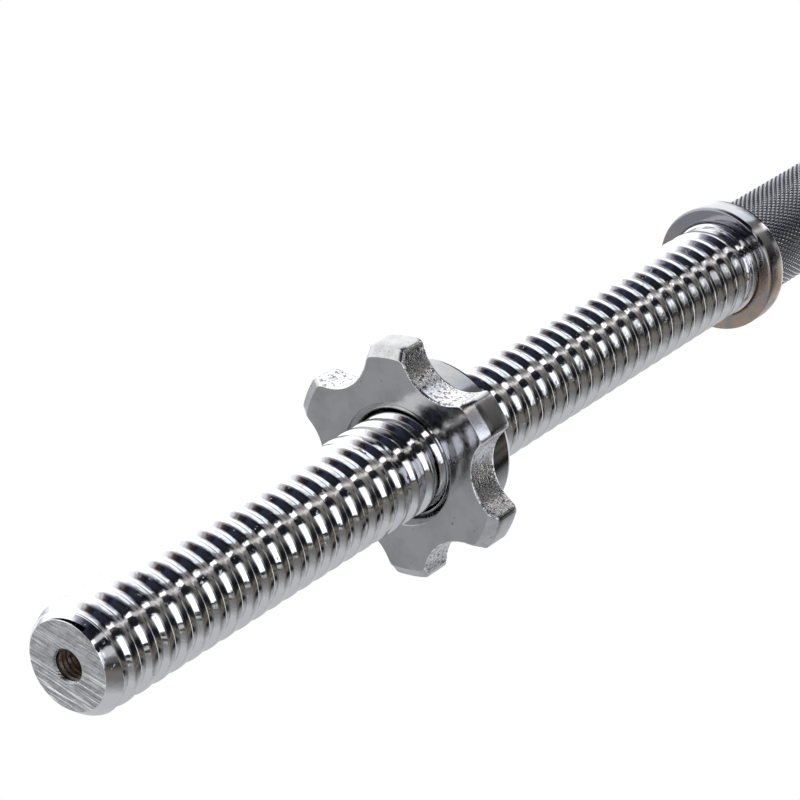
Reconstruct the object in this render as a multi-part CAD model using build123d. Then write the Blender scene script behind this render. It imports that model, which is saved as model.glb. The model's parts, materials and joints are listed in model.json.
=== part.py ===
from build123d import *
from math import cos, pi, radians, sin, sqrt
import os

# Spin-lock dumbbell bar: one steel bar with a coarse screw thread on each sleeve, a pressed-on
# inner collar at each end of the knurled grip, and on each sleeve a six-lobed star collar that
# screws along the thread with a rubber gasket ring in its plate side.
# Millimetres.  The bar lies along X, Z is up, the origin is the middle of the bar.

# ---- driving dimensions ----
GRIP_LENGTH = 130.0          # between the two inner collars
GRIP_RADIUS = 13.25          # over the knurling
SLEEVE_LENGTH = 260.0        # inner collar's plate face to the bar's end face
CREST_RADIUS = 12.5          # 25 mm thread
ROOT_RADIUS = 11.35
PITCH = 5.5
GROOVE_TOP = 2.8             # groove width at the crest radius
GROOVE_BOTTOM = 1.7          # groove width at the root radius
THREAD_TURNS = 46
THREAD_START = 3.7           # groove centre at its outer end, from the end face
THREAD_START_ANGLE = 25.5    # degrees round from the top of the bar

COLLAR_RADIUS = 17.0
COLLAR_WIDTH = 7.0
COLLAR_EDGE = 0.8
SEAT_RADIUS = 12.75          # the bar under the inner collar
SEAT_PROUD = 1.0             # seat shows this far past the collar's plate face
NECK_RADIUS = 11.2
NECK_LENGTH = 4.0

END_CHAMFER = 2.4
END_CHAMFER_LENGTH = 2.0
END_HOLE_RADIUS = 3.4        # tapping hole for an M8 end bolt
END_HOLE_DEPTH = 22.0
END_HOLE_MOUTH = 0.5

STAR_FACE = 114.0            # bar's end face to the star's front face
STAR_THICKNESS = 17.5
LOBE_THICKNESS = 9.3
LOBE_RADIUS = 28.6
LOBE_BEVEL = 3.0
LOBE_BEVEL_DEPTH = 2.0
SCALLOP_RADIUS = 11.3
SCALLOP_FLOOR = 21.2         # star axis to the bottom of a scallop
HUB_RADIUS = 20.3
HUB_ROUND = 1.5
STAR_BORE_RADIUS = 12.9
STAR_MOUTH_RADIUS = 15.0
STAR_MOUTH_DEPTH = 2.1
STAR_LEFT_TURN = 7.3         # lobe turned this far from the top of the bar
STAR_RIGHT_TURN = 30.0
RIDGE_TURNS = 2
RIDGE_FROM_BACK = 3.0        # ridge centre, from the star's plate side
THREAD_GAP = 0.3

GASKET_IN = 14.8
GASKET_OUT = 17.7
GASKET_THICKNESS = 3.5
RECESS_DEPTH = 2.5
RECESS_GAP = 0.3

HALF_GRIP = GRIP_LENGTH / 2
HALF_BAR = HALF_GRIP + COLLAR_WIDTH + SLEEVE_LENGTH
LEFT = Rotation(0, -90, 0)
RIGHT = Rotation(0, 90, 0)


# ---- thread ----
def groove_width(radius):
    """Width of the bar's thread groove at a radius, on its straight flanks."""
    slope = (GROOVE_TOP - GROOVE_BOTTOM) / (CREST_RADIUS - ROOT_RADIUS)
    return GROOVE_BOTTOM + slope * (radius - ROOT_RADIUS)


def helical_prism(turns, first_z, first_angle, corners):
    """A right-hand helical solid whose axial section is the polygon of (radius, z) corners."""
    faces = []
    for k in range(turns):
        place = Location((0, 0, first_z + k * PITCH)) * Rotation(0, 0, first_angle)
        edges = []
        for radius, z in corners:
            edge = Edge.make_helix(PITCH, PITCH, radius)
            edges.append(edge.moved(place * Location((0, 0, z))))
        for i in range(len(edges)):
            faces.append(Face.make_surface_from_curves(edges[i - 1], edges[i]))
    for z_end in (first_z, first_z + turns * PITCH):
        place = Location((0, 0, z_end)) * Rotation(0, 0, first_angle)
        outline = [Vector(radius, 0, z) for radius, z in corners]
        cap = Face(Wire.make_polygon(outline, close=True))
        faces.append(cap.moved(place))
    return Solid(Shell(faces))


def trapezoid(r_in, r_out, shrink):
    """Corners of the groove's section from r_in to r_out, narrowed by shrink on each flank."""
    inner = groove_width(r_in) / 2 - shrink
    outer = groove_width(r_out) / 2 - shrink
    return [(r_in, -inner), (r_in, inner), (r_out, outer), (r_out, -outer)]


def thread_angle(depth):
    """Angle of the groove centre where it lies at a depth in from the end face."""
    return -THREAD_START_ANGLE - 360 * (depth - THREAD_START) / PITCH


def bar_groove():
    """The cutter for one sleeve's thread, from the neck out to the bar's end."""
    depth = THREAD_START + THREAD_TURNS * PITCH
    corners = trapezoid(ROOT_RADIUS, CREST_RADIUS + 0.6, 0)
    return helical_prism(THREAD_TURNS, HALF_BAR - depth, thread_angle(depth), corners)


# ---- pieces, each made about +Z pointing out of the bar's end ----
def bar():
    """The whole bar, lying along Z."""
    shoulder = HALF_GRIP + COLLAR_WIDTH + SEAT_PROUD
    neck_end = shoulder + NECK_LENGTH
    half = [
        (0, 0),
        (GRIP_RADIUS, 0),
        (GRIP_RADIUS, HALF_GRIP),
        (SEAT_RADIUS, HALF_GRIP),
        (SEAT_RADIUS, shoulder - 0.5),
        (SEAT_RADIUS - 0.5, shoulder),
        (NECK_RADIUS, shoulder),
        (NECK_RADIUS, neck_end),
        (CREST_RADIUS, neck_end),
        (CREST_RADIUS, HALF_BAR - END_CHAMFER_LENGTH),
        (CREST_RADIUS - END_CHAMFER, HALF_BAR),
        (END_HOLE_RADIUS + END_HOLE_MOUTH, HALF_BAR),
        (END_HOLE_RADIUS, HALF_BAR - END_HOLE_MOUTH),
        (END_HOLE_RADIUS, HALF_BAR - END_HOLE_DEPTH),
        (0, HALF_BAR - END_HOLE_DEPTH - END_HOLE_RADIUS * 0.6),
    ]
    outline = [Vector(r, 0, z) for r, z in half]
    section = Face(Wire.make_polygon(outline, close=True))
    one = revolve(section, Axis.Z, 360)
    one = one - bar_groove()
    other = Rotation(0, 180, 0) * one
    return one + other


def inner_collar():
    """Plain ring pressed on the bar against the grip's shoulder."""
    low = HALF_GRIP
    high = HALF_GRIP + COLLAR_WIDTH
    edge = COLLAR_EDGE
    corners = [
        (SEAT_RADIUS, low),
        (COLLAR_RADIUS - edge, low),
        (COLLAR_RADIUS, low + edge),
        (COLLAR_RADIUS, high - edge),
        (COLLAR_RADIUS - edge, high),
        (SEAT_RADIUS + edge, high),
        (SEAT_RADIUS, high - edge),
    ]
    outline = [Vector(r, 0, z) for r, z in corners]
    return revolve(Face(Wire.make_polygon(outline, close=True)), Axis.Z, 360)


def star_collar(lobe_turn):
    """Six-lobed collar with a threaded bore; its front face looks out of the bar's end."""
    front = HALF_BAR - STAR_FACE
    back = front - STAR_THICKNESS
    lobe_back = front - LOBE_THICKNESS
    corners = [
        (STAR_BORE_RADIUS, back),
        (HUB_RADIUS - HUB_ROUND, back),
        (HUB_RADIUS, back + HUB_ROUND),
        (HUB_RADIUS, lobe_back),
        (LOBE_RADIUS - 0.6, lobe_back),
        (LOBE_RADIUS, lobe_back + 0.6),
        (LOBE_RADIUS, front - LOBE_BEVEL_DEPTH),
        (LOBE_RADIUS - LOBE_BEVEL, front),
        (STAR_MOUTH_RADIUS, front),
        (STAR_BORE_RADIUS, front - STAR_MOUTH_DEPTH),
    ]
    outline = [Vector(r, 0, z) for r, z in corners]
    body = revolve(Face(Wire.make_polygon(outline, close=True)), Axis.Z, 360)
    reach = SCALLOP_FLOOR + SCALLOP_RADIUS
    for k in range(6):
        angle = radians(lobe_turn + 30 + 60 * k)
        centre = (reach * cos(angle), reach * sin(angle), front - LOBE_THICKNESS / 2)
        body -= Location(centre) * Cylinder(SCALLOP_RADIUS, LOBE_THICKNESS + 2)
    recess = Cylinder(GASKET_OUT + RECESS_GAP, RECESS_DEPTH) - Cylinder(
        GASKET_IN - RECESS_GAP, RECESS_DEPTH
    )
    body -= Location((0, 0, back + RECESS_DEPTH / 2)) * recess
    depth = STAR_FACE + STAR_THICKNESS - RIDGE_FROM_BACK
    ridge_section = trapezoid(ROOT_RADIUS + THREAD_GAP, STAR_BORE_RADIUS + 0.4, THREAD_GAP)
    ridge = helical_prism(RIDGE_TURNS, HALF_BAR - depth, thread_angle(depth), ridge_section)
    return body + ridge


def gasket():
    """Rubber ring lying in the star collar's plate side."""
    top = HALF_BAR - STAR_FACE - STAR_THICKNESS + RECESS_DEPTH
    ring = Cylinder(GASKET_OUT, GASKET_THICKNESS) - Cylinder(GASKET_IN, GASKET_THICKNESS)
    return Location((0, 0, top - GASKET_THICKNESS / 2)) * ring


def write(shape, name):
    export_step(shape, "parts/" + name + ".step")


os.makedirs("parts", exist_ok=True)
write(RIGHT * bar(), "bar")
write(LEFT * inner_collar(), "inner_collar_left")
write(RIGHT * inner_collar(), "inner_collar_right")
write(LEFT * star_collar(STAR_LEFT_TURN), "star_collar_left")
write(RIGHT * star_collar(STAR_RIGHT_TURN), "star_collar_right")
write(LEFT * gasket(), "gasket_left")
write(RIGHT * gasket(), "gasket_right")
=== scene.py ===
import json
import math
import bmesh
import bpy
import numpy as np
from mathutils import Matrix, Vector


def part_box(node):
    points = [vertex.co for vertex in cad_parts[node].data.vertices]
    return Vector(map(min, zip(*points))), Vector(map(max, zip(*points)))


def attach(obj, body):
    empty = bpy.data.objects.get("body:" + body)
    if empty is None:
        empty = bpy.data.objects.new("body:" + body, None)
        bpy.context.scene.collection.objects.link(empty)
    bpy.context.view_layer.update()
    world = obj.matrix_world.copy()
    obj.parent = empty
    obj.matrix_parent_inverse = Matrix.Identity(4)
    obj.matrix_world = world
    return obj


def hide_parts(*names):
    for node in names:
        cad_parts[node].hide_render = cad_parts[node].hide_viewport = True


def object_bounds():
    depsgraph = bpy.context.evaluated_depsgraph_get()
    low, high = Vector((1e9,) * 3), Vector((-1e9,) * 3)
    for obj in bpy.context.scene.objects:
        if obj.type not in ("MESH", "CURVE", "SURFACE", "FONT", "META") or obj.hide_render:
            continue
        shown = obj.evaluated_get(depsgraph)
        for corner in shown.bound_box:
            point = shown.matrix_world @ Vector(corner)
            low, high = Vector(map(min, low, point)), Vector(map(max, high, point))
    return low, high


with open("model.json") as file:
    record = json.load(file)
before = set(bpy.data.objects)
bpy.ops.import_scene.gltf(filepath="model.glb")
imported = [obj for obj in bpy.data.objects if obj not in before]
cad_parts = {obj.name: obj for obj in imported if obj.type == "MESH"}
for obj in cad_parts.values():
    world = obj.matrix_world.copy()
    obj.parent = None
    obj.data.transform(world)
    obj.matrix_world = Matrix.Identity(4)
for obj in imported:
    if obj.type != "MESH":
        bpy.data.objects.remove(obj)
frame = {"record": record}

# Looks of the spin-lock dumbbell bar. Mesh work is in millimetres about a bar end that points along +Z
# (the "end frame"), then turned onto the left or the right end and scaled to metres.

cad_low, cad_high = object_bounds()

# ---- sizes read from the frame ----
HALF_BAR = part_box("bar")[1].x * 1000
COLLAR_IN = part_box("inner_collar_right")[0].x * 1000
COLLAR_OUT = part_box("inner_collar_right")[1].x * 1000
COLLAR_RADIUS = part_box("inner_collar_right")[1].z * 1000
STAR_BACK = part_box("star_collar_right")[0].x * 1000
STAR_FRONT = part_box("star_collar_right")[1].x * 1000
GASKET_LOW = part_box("gasket_right")[0].x * 1000
GASKET_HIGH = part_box("gasket_right")[1].x * 1000
GASKET_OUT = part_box("gasket_right")[1].z * 1000
PITCH = frame["record"]["behaviour"]["couplings"][0]["ratio"] * 2 * math.pi * 1000

# ---- sizes that part.py gives and the frame doesn't say, in millimetres and degrees ----
CREST = 12.5
ROOT = 11.35
GROOVE_TOP = 2.8
GROOVE_BOTTOM = 1.7
THREAD_START = 3.7
THREAD_START_ANGLE = 25.5
NECK = 11.2
NECK_LENGTH = 4.0
SEAT = 12.75
SEAT_PROUD = 1.0
GRIP = 13.25
END_CHAMFER = 2.4
HOLE = 3.4
HOLE_DEPTH = 22.0
HOLE_MOUTH = 0.5
HOLE_PITCH = 1.25
LOBE_THICKNESS = 9.3
LOBE_RADIUS = 28.6
SCALLOP_RADIUS = 11.3
SCALLOP_FLOOR = 21.2
HUB = 20.3
STAR_BORE = 12.9
STAR_MOUTH = 15.0
STAR_MOUTH_DEPTH = 2.1
LOBE_TURN = {"left": 7.3, "right": 30.0}
GASKET_IN = 14.8
RECESS_DEPTH = 2.5
RECESS_GAP = 0.3
BORE_EDGE = 0.4
THREAD_GAP = 0.3
RIDGE_FROM_BACK = 3.0
RIDGE_TURNS = 2

# ---- sizes that the looks ease against the CAD, as in the photograph ----
SHOWN_TOP = 3.6
SHOWN_BOTTOM = 1.5
SHOWN_CHAMFER_LENGTH = 3.6
CHAMFER_BLEND = 0.8
CREST_CROWN = 0.03
LOBE_BEVEL = 2.4
LOBE_BEVEL_DEPTH = 1.7
LOBE_BACK_ROUND = 0.9
SCALLOP_EDGE = 0.35
SEAM = 0.01
HOLE_RIDGE = 0.38

# ---- how finely the meshes are cut ----
EVEN = np.arange(96) / 96
FINE = np.arange(128) / 128
LOBE_STEPS = 14
SCALLOP_STEPS = 22
BEVEL_EASE = 0.06
BEVEL_EASED = 0.14
BEVEL_STEPS = (0.0, BEVEL_EASE, BEVEL_EASED, 0.35, 0.6, 0.82, 0.93, 1.0)


# ---- mesh helpers ----
def rounded(corners, cuts, steps=5):
    """An open line of (r, z) corners with corner i rounded off from cuts[i] before it to as far after."""
    line = []
    for i, corner in enumerate(corners):
        here = np.array(corner, float)
        cut = cuts[i]
        if cut == 0 or i in (0, len(corners) - 1):
            line.append(tuple(here))
            continue
        back = np.array(corners[i - 1], float) - here
        on = np.array(corners[i + 1], float) - here
        start = here + back / np.linalg.norm(back) * cut
        end = here + on / np.linalg.norm(on) * cut
        for step in range(steps + 1):
            t = step / steps
            line.append(tuple((1 - t) ** 2 * start + 2 * t * (1 - t) * here + t * t * end))
    return line


def sheet(rows):
    """Quads between rings given as an (n, columns, 3) array, closed round each ring."""
    count, columns = rows.shape[:2]
    i, j = np.meshgrid(np.arange(count - 1), np.arange(columns), indexing="ij")
    k = (j + 1) % columns
    faces = np.stack([i * columns + j, i * columns + k, (i + 1) * columns + k, (i + 1) * columns + j], -1)
    return rows.reshape(-1, 3), faces.reshape(-1, 4)


def revolved(line, turns=EVEN):
    """A sheet of rings from a line of (r, z)."""
    angle = 2 * math.pi * turns
    r = np.array([p[0] for p in line])[:, None]
    z = np.array([p[1] for p in line])[:, None]
    return sheet(np.stack([r * np.cos(angle), r * np.sin(angle), z + 0 * angle], -1))


def screwed(z_low, z_high, z_zero, pitch, across, turns, radius, start_angle):
    """A threaded wall: rows follow the helix that passes z_zero at turn 0, so its edges stay crisp.
    across lists offsets along z over one pitch, and radius gives r from (offset, turns travelled)."""
    first = math.floor((z_low - z_zero) / pitch) - 2
    last = math.ceil((z_high - z_zero) / pitch) + 1
    rows = np.array([m * pitch + u for m in range(first, last) for u in across])
    z = np.clip(z_zero + rows[:, None] + pitch * turns[None, :], z_low, z_high)
    along = (z - z_zero) / pitch - turns
    m = np.round(along)
    r = radius((along - m) * pitch, m + turns)
    angle = 2 * math.pi * turns + start_angle
    points = np.stack([r * np.cos(angle), r * np.sin(angle), z], -1)
    count, columns, shift = len(rows), len(turns), len(across)
    i, j = np.meshgrid(np.arange(count - 1 - shift), np.arange(columns), indexing="ij")
    k = (j + 1) % columns
    step = np.where(j == columns - 1, shift, 0)
    faces = np.stack(
        [i * columns + j, (i + step) * columns + k, (i + step + 1) * columns + k, (i + 1) * columns + j], -1
    )
    return points.reshape(-1, 3), faces.reshape(-1, 4)


def joined(*sheets):
    """One (points, faces, slots) from (points, faces, material slot) sheets."""
    points, faces, slots, base = [], [], [], 0
    for p, f, s in sheets:
        points.append(p)
        faces.append(f + base)
        slots.append(np.zeros(len(f), int) + s)
        base += len(p)
    return np.concatenate(points), np.concatenate(faces), np.concatenate(slots)


def onto(points, side):
    """The end frame turned onto the left or the right end, in metres."""
    x, y, z = points[:, 0], points[:, 1], points[:, 2]
    if side == "left":
        turned = np.stack([-z, y, x], -1)
    else:
        turned = np.stack([z, y, -x], -1)
    return turned / 1000


def piece(name, points, faces, slots, materials, body, nodes, flat=()):
    """Makes the object, with points that coincide merged, puts it under its body's empty and hides the CAD
    parts it stands for.
    Points merge within a tenth of a micrometre, on a grid set off so that no round size lies on its edge.
    flat lists the material slots that are flat shaded."""
    keys, index = np.unique(np.round(points * 1e7 + 0.137), axis=0, return_inverse=True)
    index = index.reshape(-1)
    where = np.zeros((len(keys), 3))
    where[index] = points
    kept, kept_slots = [], []
    for face, s in zip(index[faces].tolist(), slots.tolist()):
        ring = [v for n, v in enumerate(face) if v != face[n - 1]]
        if len(ring) > 2 and len(set(ring)) == len(ring):
            kept.append(ring)
            kept_slots.append(s)
    mesh = bpy.data.meshes.new(name)
    mesh.from_pydata(where.tolist(), [], kept)
    for material in materials:
        mesh.materials.append(material)
    mesh.polygons.foreach_set("material_index", kept_slots)
    mesh.polygons.foreach_set("use_smooth", [s not in flat for s in kept_slots])
    mesh.validate()
    mesh.update()
    obj = bpy.data.objects.new(name, mesh)
    bpy.context.scene.collection.objects.link(obj)
    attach(obj, body)
    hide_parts(*nodes)
    return obj


# ---- shader helpers ----
class Shader:
    """A material whose nodes are added by kind and linked as they are made. Its lengths are in metres."""

    def __init__(self, name):
        self.material = bpy.data.materials.new(name)
        self.material.use_nodes = True
        self.tree = self.material.node_tree
        self.main = self.tree.nodes["Principled BSDF"]
        self.place = self.node("TexCoord").outputs["Object"]

    def node(self, kind, inputs=(), **settings):
        made = self.tree.nodes.new("ShaderNode" + kind)
        for key, value in settings.items():
            setattr(made, key, value)
        for key, value in dict(inputs).items():
            self.feed(made.inputs[key], value)
        return made

    def feed(self, socket, value):
        if isinstance(value, bpy.types.NodeSocket):
            self.tree.links.new(value, socket)
        else:
            socket.default_value = value

    def noise(self, scale, detail=3.0, stretch=None):
        place = self.place
        if stretch:
            place = self.node("Mapping", {"Vector": self.place, "Scale": stretch}).outputs[0]
        made = self.node("TexNoise", {"Vector": place, "Scale": scale, "Detail": detail, "Roughness": 0.6})
        return made.outputs["Fac"]

    def band(self, value, low, high, out_low=0.0, out_high=1.0):
        made = self.node("MapRange", {0: value, 1: low, 2: high, 3: out_low, 4: out_high}, clamp=True)
        made.interpolation_type = "SMOOTHSTEP"
        return made.outputs[0]

    def math(self, operation, a, b=0.0):
        return self.node("Math", {0: a, 1: b}, operation=operation).outputs[0]

    def mix(self, share, a, b):
        made = self.node("Mix", data_type="RGBA")
        for key, value in (("Factor_Float", share), ("A_Color", a), ("B_Color", b)):
            self.feed(next(s for s in made.inputs if s.identifier == key), value)
        return next(s for s in made.outputs if s.identifier == "Result_Color")

    def bump(self, height, distance, strength=1.0, before=None):
        inputs = {"Height": height, "Distance": distance, "Strength": strength}
        if before is not None:
            inputs["Normal"] = before
        return self.node("Bump", inputs).outputs[0]

    def radius(self):
        """Distance from the bar's axis, in metres."""
        parts = self.node("SeparateXYZ", {0: self.place})
        y2 = self.math("MULTIPLY", parts.outputs[1], parts.outputs[1])
        z2 = self.math("MULTIPLY", parts.outputs[2], parts.outputs[2])
        return self.math("SQRT", self.math("ADD", y2, z2))

    def along(self):
        """Distance from the bar's middle, in metres."""
        return self.math("ABSOLUTE", self.node("SeparateXYZ", {0: self.place}).outputs[0])

    def done(self, **inputs):
        for key, value in inputs.items():
            self.feed(self.main.inputs[key.replace("_", " ")], value)
        return self.material


def thread_chrome():
    """Bright chrome, duller in patches on the crest, with a few rust specks on the underside."""
    s = Shader("thread_chrome")
    crest = s.band(s.radius(), (CREST - 0.35) / 1000, (CREST - 0.02) / 1000)
    cluster = s.band(s.noise(28, 2), 0.47, 0.66)
    speck = s.band(s.noise(620, 3), 0.66, 0.72)
    under = s.band(s.node("SeparateXYZ", {0: s.place}).outputs[2], 0.001, -0.005)
    rust = s.math("MULTIPLY", s.math("MULTIPLY", cluster, speck), under)
    mottle = s.band(s.noise(420, 4), 0.42, 0.7)
    dull = s.math("MULTIPLY", mottle, crest)
    clean = s.mix(dull, (0.80, 0.805, 0.82, 1), (0.70, 0.69, 0.675, 1))
    colour = s.mix(rust, clean, (0.23, 0.115, 0.05, 1))
    scuff = s.noise(900, 2, (0.25, 1.0, 1.0))
    wave = s.bump(s.noise(330, 2), 0.00012, 0.45, s.bump(s.noise(110, 2), 0.00016, 0.5))
    fine = s.bump(s.noise(1500, 3), 0.00002, 0.35, wave)
    pits = s.bump(speck, 0.00005, 0.5, fine)
    rough = s.math("ADD", s.band(scuff, 0.35, 0.8, 0.045, 0.12), s.math("MULTIPLY", dull, 0.11))
    rough = s.math("ADD", rough, s.math("MULTIPLY", rust, 0.45))
    metal = s.math("SUBTRACT", 1.0, s.math("MULTIPLY", rust, 0.7))
    return s.done(Base_Color=colour, Metallic=metal, Roughness=rough, Normal=pits)


def cut_steel():
    """The sawn end face: long straight scratches, blotched plating, deeper lines low on the face."""
    s = Shader("cut_steel")
    turned = s.node("Mapping", {"Vector": s.place, "Rotation": (math.radians(-13), 0, 0)}).outputs[0]

    def streak(along, across, detail):
        scaled = s.node("Mapping", {"Vector": turned, "Scale": (30.0, along, across)}).outputs[0]
        return s.node("TexNoise", {"Vector": scaled, "Scale": 1.0, "Detail": detail}).outputs["Fac"]

    fine, broad, blotch = streak(60.0, 2600.0, 2.0), streak(90.0, 1000.0, 3.0), s.noise(420, 4)
    low = s.band(s.node("SeparateXYZ", {0: s.place}).outputs[2], 0.002, -0.004, 0.2, 1.0)
    lines = s.math("MULTIPLY", s.band(s.math("MULTIPLY", s.math("ADD", fine, broad), 0.5), 0.5, 0.58), low)
    base = s.mix(s.band(blotch, 0.35, 0.68), (0.37, 0.373, 0.385, 1), (0.56, 0.565, 0.58, 1))
    scored = s.mix(s.math("MULTIPLY", s.band(fine, 0.40, 0.32), low), base, (0.16, 0.163, 0.175, 1))
    colour = s.mix(lines, scored, (1.0, 1.0, 1.0, 1))
    height = s.math("ADD", s.math("MULTIPLY", fine, 0.5), broad)
    normal = s.bump(blotch, 0.00006, 0.5, s.bump(height, 0.0006, 1.0))
    rough = s.band(blotch, 0.3, 0.7, 0.22, 0.36)
    return s.done(Base_Color=colour, Metallic=1.0, Roughness=rough, Normal=normal)


def hole_steel():
    """The end hole's wall: rusty, with painted light making it bright on the -y side."""
    s = Shader("hole_steel")
    # Painted light: the wall's -y side is coloured bright and kept free of rust.
    lit_side = s.band(s.node("SeparateXYZ", {0: s.place}).outputs[1], 0.0005, -0.0022)
    rust = s.math("SUBTRACT", s.band(s.noise(500, 4), 0.4, 0.62), lit_side)
    bare = s.mix(lit_side, (0.33, 0.30, 0.27, 1), (0.95, 0.94, 0.93, 1))
    colour = s.mix(rust, bare, (0.16, 0.075, 0.03, 1))
    rough = s.band(rust, 0.0, 1.0, 0.35, 0.8)
    metal = s.band(rust, 0.0, 1.0, 0.9, 0.3)
    pits = s.bump(s.noise(1400, 4), 0.0001, 0.6)
    return s.done(Base_Color=colour, Metallic=metal, Roughness=rough, Normal=pits)


def knurl_chrome():
    """The grip: rubbed bright on the knurl's tips, with painted shade between them, dark and mottled by
    noise.
    """
    s = Shader("knurl_chrome")
    tips = s.band(s.radius(), (GRIP - 0.33) / 1000, (GRIP - 0.03) / 1000)
    # Painted shade: the valleys between the knurl's tips are coloured dark, mottled by noise.
    valley_shade_mottle = s.noise(240, 3)
    valley = s.mix(s.band(valley_shade_mottle, 0.35, 0.7), (0.17, 0.175, 0.20, 1), (0.10, 0.10, 0.12, 1))
    colour = s.mix(tips, valley, (0.66, 0.67, 0.71, 1))
    rough = s.band(tips, 0.0, 1.0, 0.42, 0.2)
    wear = s.bump(s.noise(2200, 3), 0.00003, 0.5)
    return s.done(Base_Color=colour, Metallic=1.0, Roughness=rough, Normal=wear)


def ring_chrome():
    """The inner collars: fine turned lines, painted shade darkening the outer face, and rougher brown
    patches towards the bottom.
    """
    s = Shader("ring_chrome")
    parts = s.node("SeparateXYZ", {0: s.place})
    # Brown patches, rougher, towards the bottom of the ring.
    low = s.band(parts.outputs[2], 0.012, -0.002)
    low_brown_patch = s.math("MULTIPLY", s.band(s.noise(75, 3), 0.3, 0.5), s.band(s.noise(330, 4), 0.2, 0.65))
    low_brown_patch = s.math("MULTIPLY", low_brown_patch, low)
    # Painted shade: the outer face is coloured darker than the rest of the ring.
    front = s.band(s.along(), COLLAR_OUT / 1000 - 0.0008, COLLAR_OUT / 1000 - 0.0001)
    clean = s.mix(front, (0.55, 0.555, 0.575, 1), (0.30, 0.305, 0.335, 1))
    colour = s.mix(low_brown_patch, clean, (0.50, 0.38, 0.28, 1))
    turned = s.noise(1.0, 2, (2600.0, 60.0, 60.0))
    wave = s.bump(s.noise(160, 2), 0.0002, 0.35)
    rough = s.math("ADD", s.band(s.noise(700, 3), 0.35, 0.75, 0.07, 0.17), s.math("MULTIPLY", low_brown_patch, 0.25))
    lines = s.bump(turned, 0.00003, 0.3, wave)
    return s.done(Base_Color=colour, Metallic=1.0, Roughness=rough, Normal=lines)


def satin_casting():
    """Ground and plated faces of the star: satin, faintly clouded, with a few pinholes."""
    s = Shader("satin_casting")
    cloud, pinhole = s.noise(130, 3), s.band(s.noise(900, 2), 0.71, 0.75)
    face = s.mix(s.band(cloud, 0.35, 0.7), (0.44, 0.443, 0.45, 1), (0.37, 0.37, 0.375, 1))
    colour = s.mix(pinhole, face, (0.10, 0.09, 0.08, 1))
    rough = s.band(s.noise(1300, 3), 0.3, 0.7, 0.09, 0.15)
    wave = s.bump(s.noise(260, 2), 0.00008, 0.4)
    grain = s.bump(s.noise(2600, 3), 0.00001, 0.4, wave)
    return s.done(Base_Color=colour, Metallic=1.0, Roughness=rough, Normal=grain)


def rough_casting():
    """Scallop walls: plated over the sand-cast skin, so they sparkle."""
    s = Shader("rough_casting")
    grain, pit = s.noise(1500, 3), s.band(s.noise(1150, 4), 0.52, 0.66)
    colour = s.mix(pit, (0.82, 0.825, 0.84, 1), (0.13, 0.128, 0.125, 1))
    rough = s.math("ADD", s.band(grain, 0.35, 0.7, 0.10, 0.24), s.math("MULTIPLY", pit, 0.15))
    skin = s.bump(grain, 0.00015, 0.8, s.bump(s.noise(420, 3), 0.0002, 0.6))
    return s.done(Base_Color=colour, Metallic=1.0, Roughness=rough, Normal=s.bump(pit, 0.00006, 0.5, skin))


def smooth_casting():
    """Lobe tips and their bevels, rubbed smooth by hands."""
    s = Shader("smooth_casting")
    cloud, pit = s.noise(210, 3), s.band(s.noise(1300, 3), 0.64, 0.7)
    clean = s.mix(s.band(cloud, 0.35, 0.7), (0.60, 0.605, 0.62, 1), (0.48, 0.48, 0.49, 1))
    colour = s.mix(pit, clean, (0.25, 0.24, 0.23, 1))
    rough = s.band(cloud, 0.3, 0.7, 0.16, 0.26)
    wave = s.bump(s.noise(600, 3), 0.00006, 0.35)
    return s.done(Base_Color=colour, Metallic=1.0, Roughness=rough, Normal=wave)


def black_rubber():
    """The gasket rings: matt black rubber with a little dust."""
    s = Shader("black_rubber")
    colour = s.mix(s.band(s.noise(350, 4), 0.4, 0.7), (0.012, 0.012, 0.013, 1), (0.035, 0.034, 0.033, 1))
    rough = s.band(s.noise(500, 3), 0.3, 0.7, 0.55, 0.8)
    return s.done(Base_Color=colour, Roughness=rough, Normal=s.bump(s.noise(2500, 3), 0.00005, 0.5))


THREAD_CHROME = thread_chrome()
CUT_STEEL = cut_steel()
HOLE_STEEL = hole_steel()
KNURL_CHROME = knurl_chrome()
RING_CHROME = ring_chrome()
CASTING = [satin_casting(), rough_casting(), smooth_casting()]
BLACK_RUBBER = black_rubber()


# ---- threaded sleeve, with the sawn end, its hole, the neck and the seat ----
def groove_line():
    """Half of the groove's section, as offsets from its middle and depths below the crest."""
    depth = CREST - ROOT
    corners = [(0, depth), (SHOWN_BOTTOM / 2, depth), (SHOWN_TOP / 2, 0), (PITCH / 2, 0)]
    return rounded(corners, [0, 0.2, 0.3, 0], 6)


GROOVE = groove_line()
GROOVE_U = np.array([p[0] for p in GROOVE])
GROOVE_DEPTH = np.array([p[1] for p in GROOVE])
ON_CREST = [SHOWN_TOP / 2 + step for step in (0.45, 0.6, 0.78)]
HALF = sorted(list(GROOVE_U[1:-1]) + ON_CREST)
ACROSS = [-u for u in reversed(HALF)] + [0.0] + HALF + [PITCH / 2]
HELIX_ANGLE = -math.radians(THREAD_START_ANGLE)
HELIX_Z = HALF_BAR - THREAD_START


def smooth(t):
    """An eased step from 0 at t = 0 to 1 at t = 1."""
    t = np.clip(t, 0, 1)
    return t * t * (3 - 2 * t)


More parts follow.
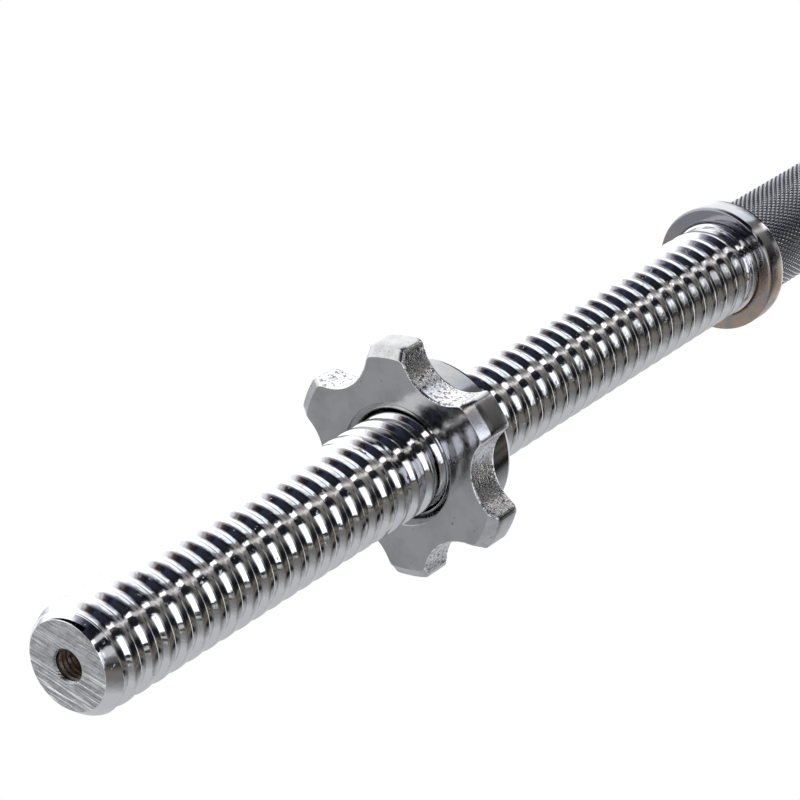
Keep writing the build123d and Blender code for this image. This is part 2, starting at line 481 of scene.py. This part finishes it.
def sleeve_radius(offset, travelled):
    """Bar radius at an offset from the groove's middle; the thread runs out through the end's chamfer."""
    away = np.abs(offset)
    crown = CREST_CROWN * np.clip((PITCH / 2 - away) / (PITCH - SHOWN_TOP) * 2, 0, 1) ** 2
    wall = CREST - np.interp(away, GROOVE_U, GROOVE_DEPTH) - crown
    depth = THREAD_START - offset - travelled * PITCH
    cone = CREST - END_CHAMFER * np.clip(1 - depth / SHOWN_CHAMFER_LENGTH, 0, 1) ** 1.3
    blend = np.clip(0.5 + (wall - cone) / CHAMFER_BLEND, 0, 1)
    eased = CHAMFER_BLEND / 4 * blend * (1 - blend) * (depth < SHOWN_CHAMFER_LENGTH)
    return np.minimum(wall, cone) - eased


def hole_radius(offset, travelled):
    """Radius of the end hole's ridged wall, the same all along."""
    return HOLE + HOLE_RIDGE * (1 - 2 * np.abs(offset) / HOLE_PITCH)


def tapped_hole(turns):
    """Sheets of the hole in the bar's end: its mouth, its ridged wall and its pointed bottom."""
    bore, lip = HOLE + 0.1, HOLE + HOLE_MOUTH
    top, bottom = HALF_BAR - HOLE_MOUTH - 0.2, HALF_BAR - HOLE_DEPTH
    mouth = rounded(
        [(lip + 0.3, HALF_BAR), (lip, HALF_BAR), (bore, HALF_BAR - HOLE_MOUTH), (bore, top)],
        [0, 0.15, 0, 0],
    )
    across = [share * HOLE_PITCH for share in (-0.375, -0.25, -0.125, 0, 0.125, 0.25, 0.375, 0.5)]
    wall = screwed(bottom, top, top, HOLE_PITCH, across, EVEN, hole_radius, HELIX_ANGLE)
    point = [(HOLE + HOLE_RIDGE, bottom), (HOLE, bottom - 0.3), (0.05, bottom - HOLE * 0.6)]
    return (*revolved(mouth, turns), 1), (*wall, 2), (*revolved(point, turns), 2)


def neck_wall(turns, neck_end):
    """The thread's end wall at the neck. It follows the thread's own section, so the groove stays open."""
    along = (neck_end - HELIX_Z) / PITCH - EVEN
    last = sleeve_radius((along - np.round(along)) * PITCH, np.round(along) + EVEN)
    angle = 2 * math.pi * turns
    return sheet(np.array([
        np.stack([r * np.cos(angle), r * np.sin(angle), 0 * angle + neck_end], -1)
        for r in (last, 0 * last + NECK + 0.1)
    ]))


def sleeve(side):
    """Slot 0 is the thread, neck and seat, 1 the sawn end face, 2 the inside of its hole."""
    turns = EVEN + HELIX_ANGLE / (2 * math.pi)
    shoulder = COLLAR_OUT + SEAT_PROUD
    neck_end = shoulder + NECK_LENGTH
    rim_depth = 0.12
    rim_z, face_r = HALF_BAR - rim_depth, CREST - END_CHAMFER
    rim = sleeve_radius(np.array([THREAD_START - rim_depth]), np.array([0.0]))[0]
    thread = screwed(neck_end, rim_z, HELIX_Z, PITCH, ACROSS, EVEN, sleeve_radius, HELIX_ANGLE)
    edge = [(rim, rim_z), (face_r, HALF_BAR)]
    face = [(r, HALF_BAR) for r in np.linspace(face_r, HOLE + HOLE_MOUTH + 0.3, 7)]
    seat_end = COLLAR_IN + 1.0
    neck = rounded(
        [(NECK + 0.1, neck_end), (NECK, neck_end), (NECK, shoulder), (SEAT - 0.5, shoulder),
         (SEAT, shoulder - 0.5), (SEAT, seat_end), (SEAT - 3, seat_end)],
        [0, 0.08, 0.35, 0.1, 0.1, 0, 0],
    )
    points, faces, slots = joined(
        (*thread, 0), (*revolved(edge, turns), 0), (*revolved(face, turns), 1), *tapped_hole(turns),
        (*neck_wall(turns, neck_end), 0), (*revolved(neck, turns), 0),
    )
    return piece("threaded_sleeve_" + side, onto(points, side), faces, slots,
                 [THREAD_CHROME, CUT_STEEL, HOLE_STEEL], "frame", ["bar"], flat=(1,))


# ---- knurled grip ----
def grip():
    """Diamond knurling: two crossing sets of slanted valleys. Quads on a valley are cut along it."""
    starts, per_start, slant = 60, 4, math.radians(30)
    depth, end_sunk, end_length = 0.34, 0.3, 0.8
    columns = starts * per_start
    row_step = 2 * math.pi * GRIP / columns / math.tan(slant)
    count = int(2 * COLLAR_IN / row_step)
    z = (np.arange(count + 1) - count / 2) * (2 * COLLAR_IN / count)
    row, column = np.meshgrid(np.arange(count + 1), np.arange(columns), indexing="ij")
    away = [np.abs((k / per_start + 0.5) % 1 - 0.5) for k in (row + column, row - column)]
    height = np.minimum(1.0, 1.25 * (1 - 2 * np.maximum(*away)))
    knurled = smooth((COLLAR_IN - np.abs(z)) / end_length)[:, None]
    r = GRIP - depth + depth * height * knurled - end_sunk * (1 - knurled)
    angle = 2 * math.pi * column / columns
    up = np.repeat(z[:, None], columns, 1)
    points, quads = sheet(np.stack([r * np.cos(angle), r * np.sin(angle), up], -1))
    other_way = ((row + column)[:-1].reshape(-1, 1) + 1) % per_start == per_start // 2
    a, b, c, d = quads.T
    first = np.where(other_way, np.stack([a, b, d, d], -1), np.stack([a, b, c, c], -1))
    second = np.where(other_way, np.stack([b, c, d, d], -1), np.stack([a, c, d, d], -1))
    points, faces, slots = joined((points, np.concatenate([first, second]), 0))
    return piece("knurled_grip", onto(points, "right"), faces, slots, [KNURL_CHROME], "frame", ["bar"],
                 flat=(0,))


# ---- inner collar ----
def inner_collar(side):
    """A plain ring with rounded rims, a hair clear of its seat."""
    low, high, out, bore = COLLAR_IN, COLLAR_OUT, COLLAR_RADIUS, SEAT + SEAM
    line = rounded(
        [(bore, low + 2), (bore, low), (out, low), (out, high), (SEAT + 0.7, high), (bore, high - 0.7),
         (bore, low + 2)],
        [0, 0.2, 1.0, 1.0, 0.25, 0.15, 0],
    )
    points, faces, slots = joined((*revolved(line, FINE), 0))
    return piece("inner_collar_ring_" + side, onto(points, side), faces, slots, [RING_CHROME], "frame",
                 ["inner_collar_" + side])


# ---- star collar ----
def outline(lobe_inset, scallop_inset, turn):
    """The six-lobed outline as complex numbers, its lobe tips and its scallops drawn in by the insets."""
    reach = SCALLOP_FLOOR + SCALLOP_RADIUS
    tip, bite = LOBE_RADIUS - lobe_inset, SCALLOP_RADIUS + scallop_inset
    corner = math.acos((reach ** 2 + tip ** 2 - bite ** 2) / (2 * reach * tip))
    half_lobe = math.pi / 6 - corner
    across = math.asin(tip * math.sin(corner) / bite)
    loop = []
    for k in range(6):
        middle = math.radians(turn + 60 * k)
        for t in np.linspace(-1, 1, LOBE_STEPS, endpoint=False):
            loop.append(tip * np.exp(1j * (middle + half_lobe * t)))
        centre = reach * np.exp(1j * (middle + math.pi / 6))
        start = math.pi + middle + math.pi / 6
        for t in np.linspace(1, -1, SCALLOP_STEPS, endpoint=False):
            loop.append(centre + bite * np.exp(1j * (start + across * t)))
    loop = np.array(loop)
    for _ in range(2):
        loop = loop * 0.5 + (np.roll(loop, 1) + np.roll(loop, -1)) * 0.25
    return loop


def ridge_radius(offset, travelled):
    """Bore radius of the star: its thread ridge, clear of the bar's groove, for its two turns."""
    flank = (GROOVE_TOP - GROOVE_BOTTOM) / 2 / (CREST - ROOT)
    deep = (GROOVE_BOTTOM / 2 - THREAD_GAP + 0.02 - np.abs(offset)) / flank + ROOT
    ridge = np.clip(2 * (ROOT + THREAD_GAP) - deep, ROOT + THREAD_GAP + 0.02, STAR_BORE)
    start = (STAR_BACK + RIDGE_FROM_BACK - HELIX_Z) / PITCH
    run_in = 0.04
    risen = smooth((travelled - start) / run_in) * smooth((start + RIDGE_TURNS - travelled) / run_in)
    return STAR_BORE - (STAR_BORE - ridge) * risen


def level(shape, z):
    """A ring of points at one height, from complex numbers."""
    return np.stack([shape.real, shape.imag, 0 * shape.real + z], -1)


def star_outside(turn, heading):
    """Rings from the hub out over the lobes' backs, up their walls and in over the front to the mouth,
    and the first and the last ring of the walls."""
    lobe_back = STAR_FRONT - LOBE_THICKNESS
    back_edge = outline(LOBE_BACK_ROUND, LOBE_BACK_ROUND, turn)
    rings = []
    for share in np.linspace(0, 1, 7):
        rings.append(level(HUB * heading * (1 - share) + back_edge * share, lobe_back))
    wall_first = len(rings) - 1
    for t in np.linspace(0, math.pi / 2, 5):
        inset = LOBE_BACK_ROUND * (1 - math.sin(t))
        rings.append(level(outline(inset, inset, turn), lobe_back + LOBE_BACK_ROUND * (1 - math.cos(t))))
    straight = LOBE_THICKNESS - LOBE_BACK_ROUND - LOBE_BEVEL_DEPTH
    for share in (0.3, 0.7):
        rings.append(level(outline(0, 0, turn), lobe_back + LOBE_BACK_ROUND + share * straight))
    for t in BEVEL_STEPS:
        tip = LOBE_BEVEL * max(t - BEVEL_EASE * smooth(1 - t / BEVEL_EASED), 0.0)
        bite = SCALLOP_EDGE * smooth((t - 0.75) / 0.25) ** 2
        rings.append(level(outline(tip, bite, turn), STAR_FRONT - LOBE_BEVEL_DEPTH * (1 - t)))
    wall_last = len(rings) - 1
    front_edge, mouth_edge = outline(LOBE_BEVEL, SCALLOP_EDGE, turn), STAR_MOUTH + 0.5
    for share in (0.03, 0.2, 0.4, 0.6, 0.8, 1.0):
        rings.append(level(front_edge * (1 - share) + mouth_edge * heading * share, STAR_FRONT))
    mouth_end = STAR_FRONT - STAR_MOUTH_DEPTH
    mouth = rounded(
        [(mouth_edge, STAR_FRONT), (STAR_MOUTH, STAR_FRONT), (STAR_BORE + 0.6, STAR_FRONT - 1.1),
         (STAR_BORE, mouth_end), (STAR_BORE, mouth_end - 0.5)],
        [0, 0.3, 0.3, 0.25, 0],
    )
    rings += [level(r * heading, z) for r, z in mouth[1:]]
    return rings, wall_first, wall_last


def star_bore(heading):
    """The threaded bore, with its columns under the outline's own."""
    turns = np.sort((np.angle(heading) - HELIX_ANGLE) / (2 * math.pi) % 1)
    half = (0.35, 0.55, 0.7, 0.85, 1.1, 1.7)
    across = [-u for u in reversed(half)] + [0, *half, PITCH / 2]
    top = STAR_FRONT - STAR_MOUTH_DEPTH - 0.5
    return screwed(STAR_BACK + BORE_EDGE, top, HELIX_Z, PITCH, across, turns, ridge_radius, HELIX_ANGLE)


def star_plate_side(heading):
    """The back face, with the gasket's recess, and the hub's side up to the lobes."""
    back, lobe_back = STAR_BACK, STAR_FRONT - LOBE_THICKNESS
    recess_in, recess_out = GASKET_IN - RECESS_GAP, GASKET_OUT + RECESS_GAP
    line = rounded(
        [(STAR_BORE, back + BORE_EDGE), (STAR_BORE + BORE_EDGE, back), (recess_in, back),
         (recess_in, back + RECESS_DEPTH), (recess_out, back + RECESS_DEPTH), (recess_out, back),
         (HUB, back), (HUB, lobe_back - 0.9), (HUB, lobe_back)],
        [0, 0, 0.15, 0.15, 0.15, 0.15, 1.4, 0, 0],
    )
    return sheet(np.array([level(r * heading, z) for r, z in line]))


def star_collar(side):
    """Slot 0 is the ground faces and the bore, 1 the scallops' walls, 2 the lobes' tips and bevels."""
    turn = LOBE_TURN[side]
    rim = outline(0, 0, turn)
    heading = rim / np.abs(rim)
    rings, wall_first, wall_last = star_outside(turn, heading)
    outside, quads = sheet(np.array(rings))
    ring, column = np.divmod(np.arange(len(quads)), len(rim))
    on_lobe = column % (LOBE_STEPS + SCALLOP_STEPS) < LOBE_STEPS
    on_wall = (ring >= wall_first) & (ring < wall_last)
    kinds = np.where(on_wall, np.where(on_lobe, 2, 1), 0)
    points, faces, slots = joined(
        (outside, quads, kinds), (*star_bore(heading), 0), (*star_plate_side(heading), 0),
    )
    return piece("star_collar_casting_" + side, onto(points, side), faces, slots, CASTING, side + "_star",
                 ["star_collar_" + side])


# ---- gasket ----
def gasket(side):
    """The rubber ring that fills the recess in the star's plate side."""
    low, high = GASKET_LOW, GASKET_HIGH
    middle = (low + high) / 2
    line = rounded(
        [(GASKET_IN, middle), (GASKET_IN, high), (GASKET_OUT, high), (GASKET_OUT, low), (GASKET_IN, low),
         (GASKET_IN, middle)],
        [0, 0.5, 0.5, 0.7, 0.7, 0],
    )
    points, faces, slots = joined((*revolved(line), 0))
    return piece("gasket_ring_" + side, onto(points, side), faces, slots, [BLACK_RUBBER], side + "_gasket",
                 ["gasket_" + side])


# ---- the whole object ----
def face_outwards(obj):
    """Turns every face of a piece outwards."""
    made = bmesh.new()
    made.from_mesh(obj.data)
    bmesh.ops.recalc_face_normals(made, faces=made.faces)
    made.to_mesh(obj.data)
    made.free()


made = [grip()]
for side in ("left", "right"):
    made += [sleeve(side), inner_collar(side), star_collar(side), gasket(side)]
for obj in made:
    face_outwards(obj)


# ---- floor, light and camera ----
def floor():
    """A large white floor, seen by the camera; reflections see the studio's own lower half through it."""
    z, half = cad_low.z, 8
    mesh = bpy.data.meshes.new("studio_floor")
    corners = [(-half, -half, z), (half, -half, z), (half, half, z), (-half, half, z)]
    mesh.from_pydata(corners, [], [(0, 1, 2, 3)])
    obj = bpy.data.objects.new("studio_floor", mesh)
    bpy.context.scene.collection.objects.link(obj)
    material = bpy.data.materials.new("studio_floor")
    material.use_nodes = True
    nodes, links = material.node_tree.nodes, material.node_tree.links
    nodes.remove(nodes["Principled BSDF"])
    path = nodes.new("ShaderNodeLightPath")
    seen = nodes.new("ShaderNodeEmission")
    unseen = nodes.new("ShaderNodeBsdfTransparent")
    mixed = nodes.new("ShaderNodeMixShader")
    seen.inputs["Color"].default_value = (1, 1, 1, 1)
    links.new(path.outputs["Is Camera Ray"], mixed.inputs[0])
    links.new(unseen.outputs[0], mixed.inputs[1])
    links.new(seen.outputs[0], mixed.inputs[2])
    links.new(mixed.outputs[0], nodes["Material Output"].inputs["Surface"])
    mesh.materials.append(material)


def studio():
    """Soft light from all round, as tones by direction, which is what chrome shows.
    Each ramp runs once round the bar: 0 degrees is up, 90 the camera's side, -90 the far side and 180 down.
    The ramps follow each other by how far a direction leans along the bar, from the left end's side
    (flank) to the right end's side (beyond). Camera rays see plain white."""
    world = bpy.data.worlds.new("studio")
    bpy.context.scene.world = world
    world.use_nodes = True
    tree = world.node_tree
    tree.nodes.clear()

    def node(kind, inputs=(), **settings):
        made = tree.nodes.new("ShaderNode" + kind)
        for key, value in settings.items():
            setattr(made, key, value)
        for key, value in dict(inputs).items():
            if isinstance(value, bpy.types.NodeSocket):
                tree.links.new(value, made.inputs[key])
            else:
                made.inputs[key].default_value = value
        return made

    def ramp(share, stops):
        made = node("ValToRGB", {0: share})
        points = made.color_ramp.elements
        while len(points) < len(stops):
            points.new(0.5)
        for point, (degrees, colour) in zip(points, stops):
            point.position = (degrees + 180) / 360
        for point, (degrees, colour) in zip(points, stops):
            point.color = (*colour, 1)
        return made.outputs[0]

    parts = node("SeparateXYZ", {0: node("TexCoord").outputs["Generated"]})
    towards = node("Math", {0: parts.outputs[1], 1: -1.0}, operation="MULTIPLY").outputs[0]
    round_bar = node("Math", {0: towards, 1: parts.outputs[2]}, operation="ARCTAN2").outputs[0]
    share = node("MapRange", {0: round_bar, 1: -math.pi, 2: math.pi, 3: 0.0, 4: 1.0}).outputs[0]
    spot = (2.0, 1.92, 1.85)
    window = (1.5, 1.56, 1.7)
    white = (1.4, 1.4, 1.4)
    cool = (1.05, 1.13, 1.22)
    pale = (0.62, 0.62, 0.65)
    low = (0.56, 0.57, 0.59)
    dim = (0.18, 0.175, 0.17)
    beige = (0.18, 0.165, 0.14)
    dark = (0.010, 0.011, 0.015)
    flank = ramp(share, [
        (-180, low), (-112, low), (-96, pale), (-80, white), (-44, white),
        (-34, (0.95, 0.94, 0.98)), (-28, (0.5, 0.47, 0.5)), (-22, (0.07, 0.045, 0.035)),
        (-12, dark), (-4, (0.03, 0.035, 0.055)), (30, dark), (32, spot), (39, spot),
        (41, (0.06, 0.05, 0.05)), (50, dark), (62, dark), (64, window), (102, window), (104, dark),
        (108, dark), (110, low), (114, low), (115, dark), (119, dark), (121, low), (180, low),
    ])
    side = ramp(share, [
        (-180, low), (-120, pale), (-95, pale), (-84, white), (-34, white), (-25, (0.6, 0.6, 0.66)),
        (-16, (0.25, 0.25, 0.31)), (-8, (0.08, 0.085, 0.12)), (2, (0.04, 0.05, 0.09)), (8, dark),
        (29, dark), (31, pale), (39, pale), (42, dark), (56, dark), (60, pale), (72, pale),
        (80, dim), (94, (0.03, 0.03, 0.03)), (101, (0.1, 0.095, 0.08)), (108, beige), (116, dim),
        (122, dim), (136, (0.32, 0.32, 0.33)), (150, low), (180, low),
    ])
    edge = ramp(share, [
        (-180, low), (-130, pale), (-90, white), (-38, white), (-27, (0.85, 0.85, 0.92)),
        (-18, (0.4, 0.39, 0.46)), (-8, (0.22, 0.22, 0.27)), (4, (0.09, 0.09, 0.11)), (16, dark),
        (27, dark), (31, pale), (37, pale), (41, (0.06, 0.06, 0.06)), (54, dark), (58, dim),
        (66, (0.22, 0.21, 0.2)), (74, (0.07, 0.07, 0.07)), (80, dark), (96, dark),
        (104, (0.06, 0.055, 0.045)), (110, beige), (114, (0.07, 0.065, 0.06)),
        (120, (0.22, 0.21, 0.2)), (127, (0.1, 0.1, 0.1)), (136, dim), (150, (0.4, 0.4, 0.42)),
        (180, low),
    ])
    crest = ramp(share, [
        (-180, low), (-136, pale), (-131, (0.12, 0.12, 0.13)), (-126, dim), (-120, white),
        (-20, white), (0, cool), (9, cool), (11, (0.3, 0.29, 0.29)), (21, (0.2, 0.19, 0.19)),
        (28, (0.4, 0.38, 0.37)), (31, (0.9, 0.86, 0.83)), (35, (0.7, 0.67, 0.65)),
        (38, (0.28, 0.27, 0.26)), (46, dim), (60, (0.14, 0.135, 0.13)), (69, (0.06, 0.055, 0.05)),
        (80, dark), (93, dark), (98, (0.05, 0.045, 0.04)), (106, beige), (110, (0.06, 0.055, 0.05)),
        (116, beige), (122, (0.08, 0.075, 0.07)), (127, dark), (132, dark),
        (137, (0.12, 0.12, 0.12)), (142, (0.32, 0.32, 0.33)), (164, low), (180, low),
    ])
    beyond = ramp(share, [
        (-180, white), (-140, white), (-130, dark), (18, dark), (22, spot), (34, spot), (38, dark),
        (62, dark), (70, pale), (96, dark), (108, white), (180, white),
    ])
    # On the camera's side the flank's tones give way to the side's ones further to the left.
    place = parts.outputs[0]
    slant = node("MapRange", {0: share, 1: 1 / 3, 2: 7 / 12, 3: -0.07, 4: 0.2}).outputs[0]
    leaning = node("Math", {0: place, 1: slant}, operation="ADD").outputs[0]
    colour = flank
    for x, low_x, high_x, onward in (
        (leaning, -0.43, -0.39, side),
        (place, 0.24, 0.3, edge),
        (place, 0.63, 0.68, crest),
        (place, 0.84, 0.87, beyond),
    ):
        split = node("MapRange", {0: x, 1: low_x, 2: high_x, 3: 0.0, 4: 1.0}).outputs[0]
        mixed = node("Mix", data_type="RGBA")
        for key, value in (("Factor_Float", split), ("A_Color", colour), ("B_Color", onward)):
            tree.links.new(value, next(s for s in mixed.inputs if s.identifier == key))
        colour = next(s for s in mixed.outputs if s.identifier == "Result_Color")
    lit = node("Background", {"Color": colour, "Strength": 1.0})
    seen = node("Background", {"Color": (1, 1, 1, 1), "Strength": 1.0})
    path = node("LightPath")
    both = node("MixShader", {0: path.outputs["Is Camera Ray"], 1: lit.outputs[0], 2: seen.outputs[0]})
    node("OutputWorld", {"Surface": both.outputs[0]})


def camera():
    """Stands off the left end and looks along the bar towards the grip, as the photographer did."""
    data = bpy.data.cameras.new("camera")
    data.lens = 135.2
    data.sensor_width = 36.0
    data.clip_start, data.clip_end = 0.01, 50
    obj = bpy.data.objects.new("camera", data)
    bpy.context.scene.collection.objects.link(obj)
    left_end = Vector((cad_low.x, 0, 0))
    from_end = Vector((-0.3912, -0.3597, 0.3003))
    looking = Vector((0.7415, 0.5262, -0.4163))
    obj.location = left_end + from_end
    obj.rotation_mode = "QUATERNION"
    obj.rotation_quaternion = looking.to_track_quat("-Z", "Y")
    bpy.context.scene.camera = obj


floor()
studio()
camera()
bpy.context.scene.view_settings.view_transform = "Standard"
